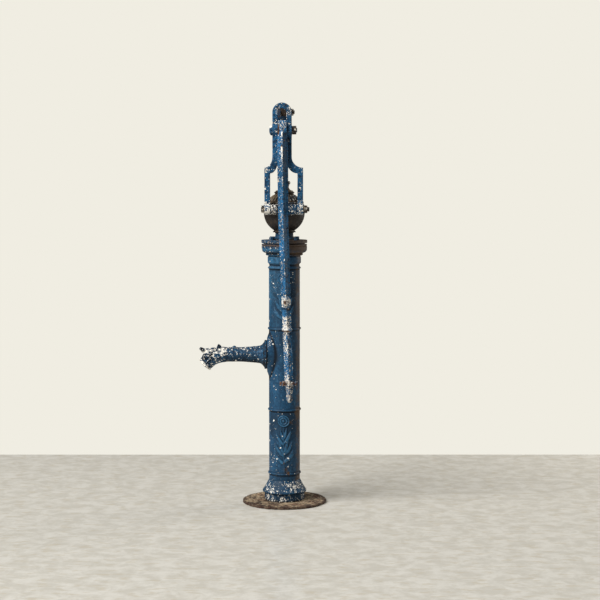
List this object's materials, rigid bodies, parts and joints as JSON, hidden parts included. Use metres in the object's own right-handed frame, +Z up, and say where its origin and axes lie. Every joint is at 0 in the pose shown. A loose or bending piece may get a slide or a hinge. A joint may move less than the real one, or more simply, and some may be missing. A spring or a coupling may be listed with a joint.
{
  "type": "hand well pump",
  "caption": "Cast-iron hand well pump: beaded column on a round base, side spout, urn-shaped gland housing, rocking fork and a long hanging lever.",
  "frame": {"origin": "centre of the suction hole at the base plate's underside, on the column's axis", "axes": "+Z up along the column, -X along the spout, -Y towards the hanging lever"},
  "size_m": [0.4583, 0.304, 1.43],
  "materials": {
    "base_iron": "rough rusted casting",
    "blue_iron": "worn satin blue paint with chips",
    "spout_iron": "heavily chipped blue over cream paint",
    "lever_iron": "chipped blue over cream paint",
    "bare_iron": "dark bare iron, satin",
    "bolt_iron": "dark rusted iron",
    "pipe_iron": "dull",
    "rod_steel": "worn bright steel",
    "brass": "dull turned brass",
    "leather": "greased leather",
    "hemp": "greased hemp cord"
  },
  "bodies": {
    "column": {"base_plate": "base_iron", "base_screws": "bolt_iron", "column_foot": "blue_iron", "column": "blue_iron", "column_capital": "blue_iron", "suction_flange": "pipe_iron", "suction_pipe": "pipe_iron", "barrel_foot": "brass", "barrel": "brass", "barrel_seal": "leather", "clack_pin": "rod_steel", "spout_washer": "leather", "spout": "spout_iron", "cover_gasket": "leather", "cover": "blue_iron", "cover_bolts": "blue_iron", "urn_gasket": "leather", "urn_bowl": "bare_iron", "urn_dome": "bare_iron", "stuffing_box": "bare_iron", "gland_packing": "hemp", "gland_cap": "bare_iron", "fork_studs": "bolt_iron", "fork_washers": "bolt_iron", "fork_nuts": "bolt_iron"},
    "fork": {"fork": "blue_iron", "fulcrum_bolt": "blue_iron", "fulcrum_washer": "bolt_iron", "fulcrum_nut": "bolt_iron"},
    "lever": {"lever": "lever_iron", "rod_pin": "bolt_iron", "rod_pin_nut": "bolt_iron"},
    "rod": {"crosshead": "bolt_iron", "rod_lock_nut": "bolt_iron", "piston_rod": "rod_steel", "piston_body": "brass", "piston_cup": "leather", "piston_clamp": "brass", "piston_nut": "bolt_iron", "valve_stop": "bolt_iron"},
    "piston_valve": {"piston_valve": "brass"},
    "foot_valve": {"clack_leather": "leather", "clack_plate": "brass", "clack_rivet": "brass"}
  },
  "joints": [
    {"name": "fork_rock", "type": "hinge", "parent": "column", "child": "fork", "pos_m": [-0.001, -0.075, 1.057], "axis": [1, 0, 0], "range_deg": [0, 2.6]},
    {"name": "lever_swing", "type": "hinge", "parent": "fork", "child": "lever", "pos_m": [-0.007, -0.075, 1.334], "axis": [-1, 0, 0], "range_deg": [0, 73]},
    {"name": "rod_slide", "type": "slide", "parent": "column", "child": "rod", "axis": [0, 0, 1], "range_m": [-0.1155, 0]},
    {"name": "piston_valve_lift", "type": "slide", "parent": "rod", "child": "piston_valve", "axis": [0, 0, 1], "range_m": [0, 0.01]},
    {"name": "clack_lift", "type": "hinge", "parent": "column", "child": "foot_valve", "pos_m": [0.0295, 0, 0.241], "axis": [0, 1, 0], "range_deg": [0, 30]}
  ],
  "couplings": [
    {"joint": "fork_rock", "follows": "lever_swing", "ratio": 0.034822},
    {"joint": "rod_slide", "follows": "lever_swing", "m_per_rad": -0.090163}
  ]
}
